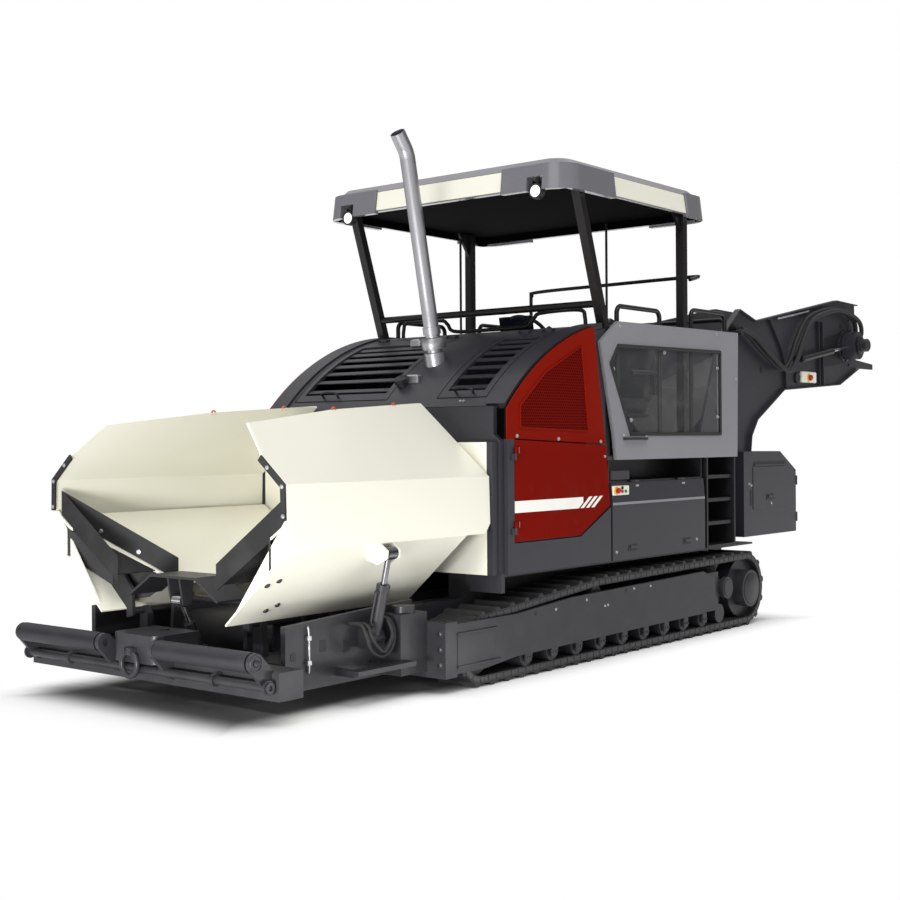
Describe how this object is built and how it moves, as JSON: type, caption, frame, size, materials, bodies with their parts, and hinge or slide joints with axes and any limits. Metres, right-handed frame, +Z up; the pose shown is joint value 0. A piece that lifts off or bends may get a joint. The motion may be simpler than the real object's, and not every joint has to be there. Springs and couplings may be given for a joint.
{
  "type": "tracked mobile feeder",
  "caption": "Tracked mobile asphalt feeder with folding hopper wings, push rollers, belt conveyor with gooseneck head, engine house, operator platform and roof.",
  "frame": {"origin": "On the ground under the middle of the overall box", "axes": "X forward to the hopper, Y to the left of the machine, Z up"},
  "size_m": [10.2929, 2.58, 3.9606],
  "materials": {
    "cream_paint": "gloss",
    "charcoal_paint": "satin",
    "black_paint": "satin",
    "red_paint": "gloss",
    "window_grey": "satin",
    "brown_black_paint": "satin",
    "roof_grey": "satin",
    "black_plastic": "matte",
    "seat_black": "matte",
    "belt_rubber": "matte",
    "black_rubber": "matte",
    "track_steel": "matte",
    "worn_steel": "satin",
    "satin_steel": "satin",
    "chrome": "polished",
    "engine_iron": "matte",
    "lamp_white": "gloss",
    "clear_glass": "clear"
  },
  "bodies": {
    "chassis": {"bulkhead": "charcoal_paint", "console": "black_plastic", "conveyor_belt": "belt_rubber", "conveyor_neck": "charcoal_paint", "conveyor_trough": "charcoal_paint", "deck": "black_paint", "engine_block": "engine_iron", "exhaust": "satin_steel", "fascia": "charcoal_paint", "handrails": "black_paint", "hood": "charcoal_paint", "hopper_frame": "black_paint", "lamps": "lamp_white", "main_frame": "black_paint", "posts": "brown_black_paint", "rear_boxes": "charcoal_paint", "roof": "roof_grey", "roof_panels": "cream_paint", "seats": "seat_black", "side_panels": "charcoal_paint", "steps": "black_paint", "storage_boxes": "charcoal_paint", "track_frame_left": "black_paint", "track_frame_right": "black_paint", "track_left": "track_steel", "track_right": "track_steel", "upper_panels": "red_paint", "window_glass": "clear_glass", "window_panels": "window_grey"},
    "wing_left": {"wing_panel_left": "cream_paint", "wing_floor_left": "cream_paint", "wing_strip_left": "black_rubber"},
    "wing_cylinder_left": {"wing_cylinder_left": "black_paint"},
    "wing_rod_left": {"wing_rod_left": "chrome"},
    "wing_right": {"wing_panel_right": "cream_paint", "wing_floor_right": "cream_paint", "wing_strip_right": "black_rubber"},
    "wing_cylinder_right": {"wing_cylinder_right": "black_paint"},
    "wing_rod_right": {"wing_rod_right": "chrome"},
    "front_apron": {"front_apron": "black_paint"},
    "apron_cylinder": {"apron_cylinder": "black_paint"},
    "apron_rod": {"apron_rod": "chrome"},
    "push_beam": {"push_beam": "black_paint"},
    "push_roller_left": {"push_roller_left": "worn_steel"},
    "push_roller_right": {"push_roller_right": "worn_steel"},
    "engine_door_left": {"engine_door_left": "red_paint"},
    "storage_lid_left": {"storage_lid_left": "charcoal_paint"},
    "rear_box_door_left": {"rear_box_door_left": "charcoal_paint"},
    "engine_door_right": {"engine_door_right": "red_paint"},
    "storage_lid_right": {"storage_lid_right": "charcoal_paint"},
    "rear_box_door_right": {"rear_box_door_right": "charcoal_paint"},
    "hood_lid_left": {"hood_lid_left": "charcoal_paint"},
    "hood_lid_right": {"hood_lid_right": "charcoal_paint"}
  },
  "joints": [
    {"name": "wing_left_fold", "type": "hinge", "parent": "chassis", "child": "wing_left", "pos_m": [3.9535, 0.56, 0.52], "axis": [1, 0, 0], "range_deg": [0, 20]},
    {"name": "wing_cylinder_left_swing", "type": "hinge", "parent": "chassis", "child": "wing_cylinder_left", "pos_m": [3.9735, 1.02, 0.41], "axis": [1, 0, 0], "range_deg": [0, 18]},
    {"name": "wing_rod_left_slide", "type": "slide", "parent": "wing_cylinder_left", "child": "wing_rod_left", "axis": [0, 0.2361, 0.9717], "range_m": [0, 0.165]},
    {"name": "wing_right_fold", "type": "hinge", "parent": "chassis", "child": "wing_right", "pos_m": [3.9535, -0.56, 0.52], "axis": [-1, 0, 0], "range_deg": [0, 20]},
    {"name": "wing_cylinder_right_swing", "type": "hinge", "parent": "chassis", "child": "wing_cylinder_right", "pos_m": [3.9735, -1.02, 0.41], "axis": [-1, 0, 0], "range_deg": [0, 18]},
    {"name": "wing_rod_right_slide", "type": "slide", "parent": "wing_cylinder_right", "child": "wing_rod_right", "axis": [0, -0.2361, 0.9717], "range_m": [0, 0.165]},
    {"name": "front_apron_lower", "type": "hinge", "parent": "chassis", "child": "front_apron", "pos_m": [4.4135, 0, 0.62], "axis": [0, 1, 0], "range_deg": [0, 25]},
    {"name": "apron_cylinder_swing", "type": "hinge", "parent": "chassis", "child": "apron_cylinder", "pos_m": [4.5135, 0, 0.3], "axis": [0, 1, 0], "range_deg": [0, 9]},
    {"name": "apron_rod_slide", "type": "slide", "parent": "apron_cylinder", "child": "apron_rod", "axis": [0.4472, 0, 0.8944], "range_m": [-0.112, 0]},
    {"name": "push_beam_swing", "type": "hinge", "parent": "chassis", "child": "push_beam", "pos_m": [4.8135, 0, 0.25], "axis": [0, 0, 1], "range_deg": [-4, 4]},
    {"name": "push_roller_left_turn", "type": "hinge", "parent": "push_beam", "child": "push_roller_left", "pos_m": [5.0855, 0.69, 0.395], "axis": [0, 1, 0], "continuous": true},
    {"name": "push_roller_right_turn", "type": "hinge", "parent": "push_beam", "child": "push_roller_right", "pos_m": [5.0855, -0.69, 0.395], "axis": [0, 1, 0], "continuous": true},
    {"name": "engine_door_left_open", "type": "hinge", "parent": "chassis", "child": "engine_door_left", "pos_m": [2.7115, 1.21, 1.3], "axis": [0, 0, -1], "range_deg": [0, 100]},
    {"name": "storage_lid_left_open", "type": "hinge", "parent": "chassis", "child": "storage_lid_left", "pos_m": [0.7235, 1.183, 1.323], "axis": [1, 0, 0], "range_deg": [0, 80]},
    {"name": "rear_box_door_left_open", "type": "hinge", "parent": "chassis", "child": "rear_box_door_left", "pos_m": [-2.0085, 1.1, 1.1], "axis": [0, 0, 1], "range_deg": [0, 100]},
    {"name": "engine_door_right_open", "type": "hinge", "parent": "chassis", "child": "engine_door_right", "pos_m": [2.7115, -1.21, 1.3], "axis": [0, 0, 1], "range_deg": [0, 100]},
    {"name": "storage_lid_right_open", "type": "hinge", "parent": "chassis", "child": "storage_lid_right", "pos_m": [0.7235, -1.183, 1.323], "axis": [-1, 0, 0], "range_deg": [0, 80]},
    {"name": "rear_box_door_right_open", "type": "hinge", "parent": "chassis", "child": "rear_box_door_right", "pos_m": [-2.0085, -1.1, 1.1], "axis": [0, 0, -1], "range_deg": [0, 100]},
    {"name": "hood_lid_left_open", "type": "hinge", "parent": "chassis", "child": "hood_lid_left", "pos_m": [1.7775, 0.73, 2.49001], "axis": [0, -1, 0], "range_deg": [0, 50]},
    {"name": "hood_lid_right_open", "type": "hinge", "parent": "chassis", "child": "hood_lid_right", "pos_m": [1.7775, -0.47, 2.49001], "axis": [0, -1, 0], "range_deg": [0, 50]}
  ],
  "couplings": [
    {"joint": "wing_cylinder_left_swing", "follows": "wing_left_fold", "ratio": 0.88773},
    {"joint": "wing_rod_left_slide", "follows": "wing_left_fold", "m_per_rad": 0.46529},
    {"joint": "wing_cylinder_right_swing", "follows": "wing_right_fold", "ratio": 0.88773},
    {"joint": "wing_rod_right_slide", "follows": "wing_right_fold", "m_per_rad": 0.46529},
    {"joint": "apron_cylinder_swing", "follows": "front_apron_lower", "ratio": 0.31177},
    {"joint": "apron_rod_slide", "follows": "front_apron_lower", "m_per_rad": -0.24927}
  ]
}
